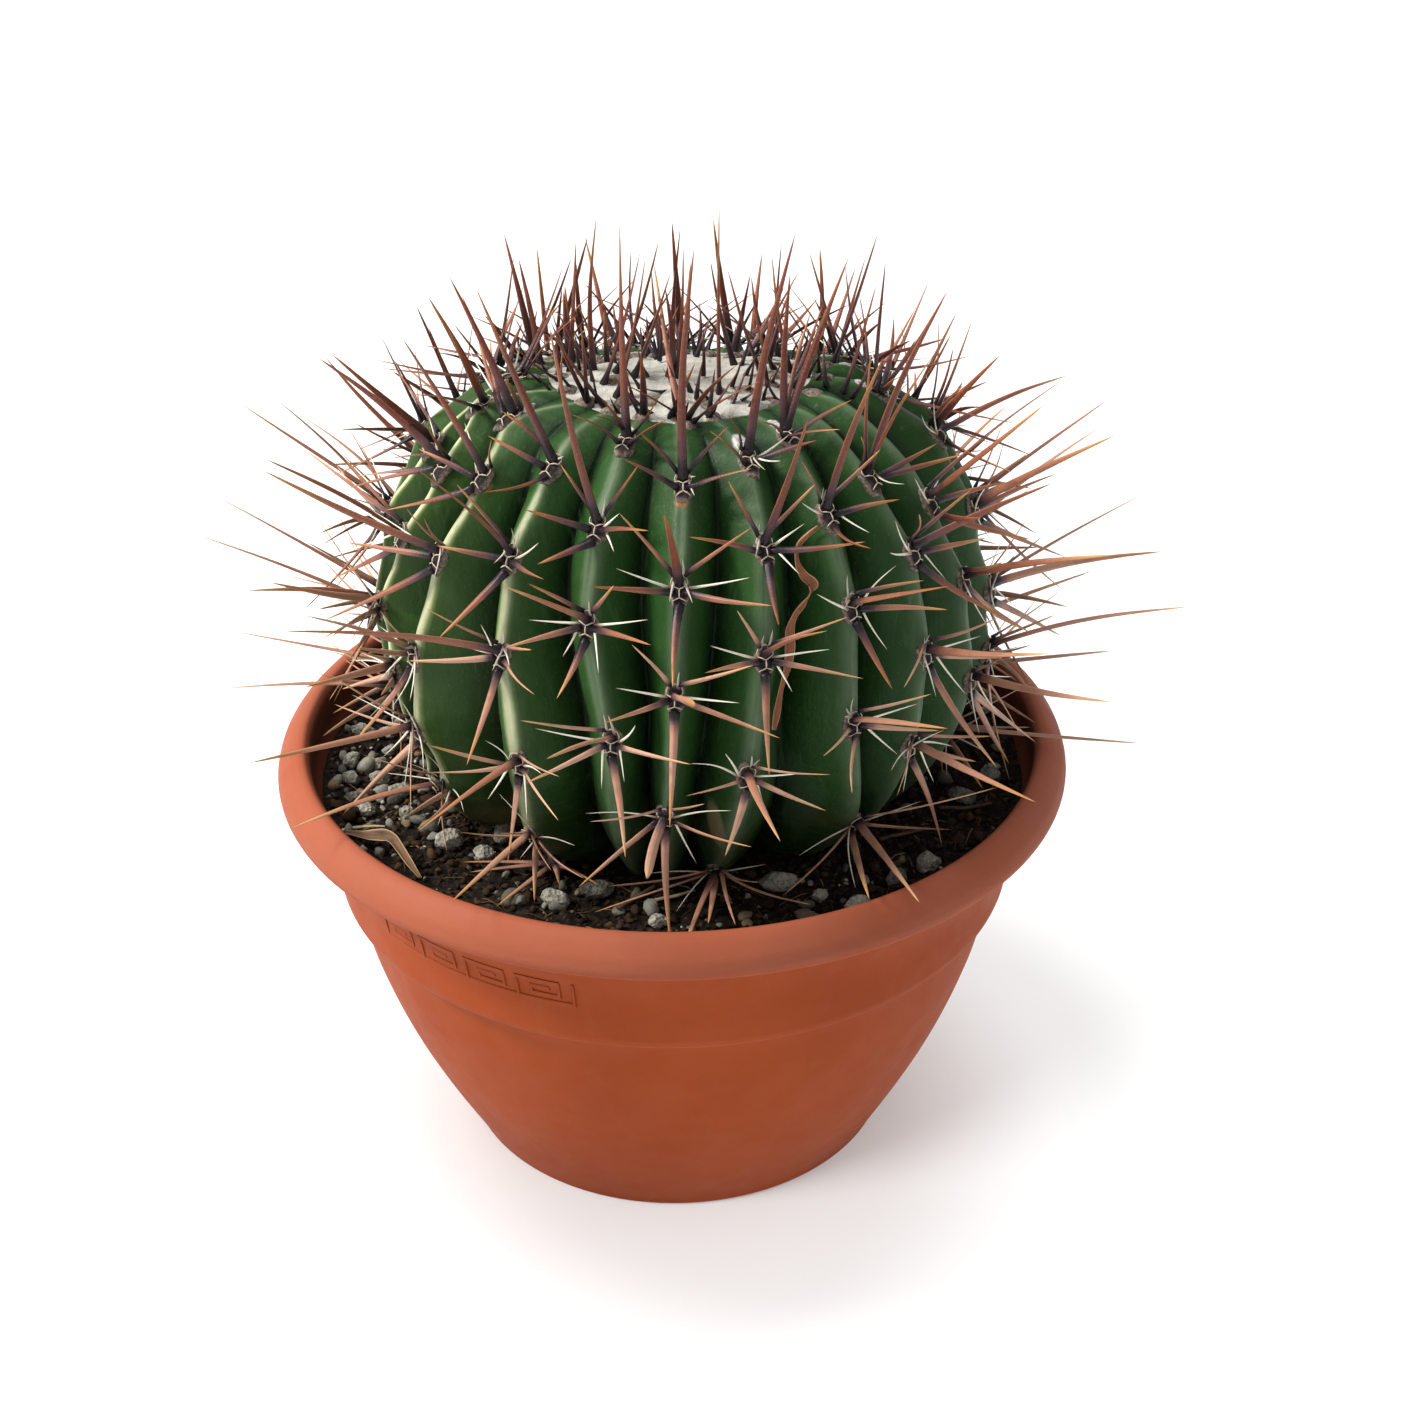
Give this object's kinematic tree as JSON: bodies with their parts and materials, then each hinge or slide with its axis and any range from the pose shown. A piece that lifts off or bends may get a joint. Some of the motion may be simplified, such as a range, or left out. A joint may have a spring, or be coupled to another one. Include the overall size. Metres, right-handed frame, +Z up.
{
  "type": "potted globe cactus",
  "caption": "Ribbed globe cactus with a felted crown and long flattened spines, growing in compost in a round flared pot with a rolled rim and a flat base.",
  "frame": {"origin": "centre of the pot's underside", "axes": "+Z up along the pot's axis, the pictured front towards -Y, +X to the right as seen from the front"},
  "size_m": [0.356, 0.3606, 0.386],
  "materials": {
    "terracotta_plastic": "matte",
    "cactus_skin": "satin",
    "felt": "matte",
    "compost": "matte",
    "spine": "satin",
    "pumice": "matte",
    "dry_leaf": "matte",
    "straw": "matte",
    "twig": "matte"
  },
  "bodies": {
    "root": {"cactus_body": "cactus_skin", "crown_wool": "felt", "dry_leaf": "dry_leaf", "dry_ribbon": "dry_leaf", "fallen_spines": "spine", "needle": "straw", "pot": "terracotta_plastic", "soil": "compost", "spine_row_01": "spine", "spine_row_02": "spine", "spine_row_03": "spine", "spine_row_04": "spine", "spine_row_05": "spine", "spine_row_06": "spine", "spine_row_07": "spine", "spine_row_08": "spine", "spine_row_09": "spine", "spine_row_10": "spine", "spine_row_11": "spine", "spine_row_12": "spine", "spine_row_13": "spine", "spine_row_14": "spine", "spine_row_15": "spine", "spine_row_16": "spine", "spine_row_17": "spine", "spine_row_18": "spine", "spine_row_19": "spine", "spine_row_20": "spine", "spine_row_21": "spine", "spine_row_22": "spine", "stem_brown": "twig", "stone_01": "pumice", "stone_02": "pumice", "stone_03": "pumice", "stone_04": "pumice", "stone_05": "pumice", "stone_06": "pumice", "stone_07": "pumice", "stone_08": "pumice", "stone_09": "pumice", "stone_10": "pumice", "stone_11": "pumice", "stone_12": "pumice", "stone_13": "pumice", "stone_14": "pumice", "stone_15": "pumice", "stone_16": "pumice", "stone_17": "pumice", "stone_18": "pumice", "stone_19": "pumice", "stone_20": "pumice", "stone_21": "pumice", "stone_22": "pumice", "stone_23": "pumice", "stone_24": "pumice", "straw_dark_1": "twig", "straw_dark_2": "twig", "straw_pale": "straw"}
  },
  "joints": []
}
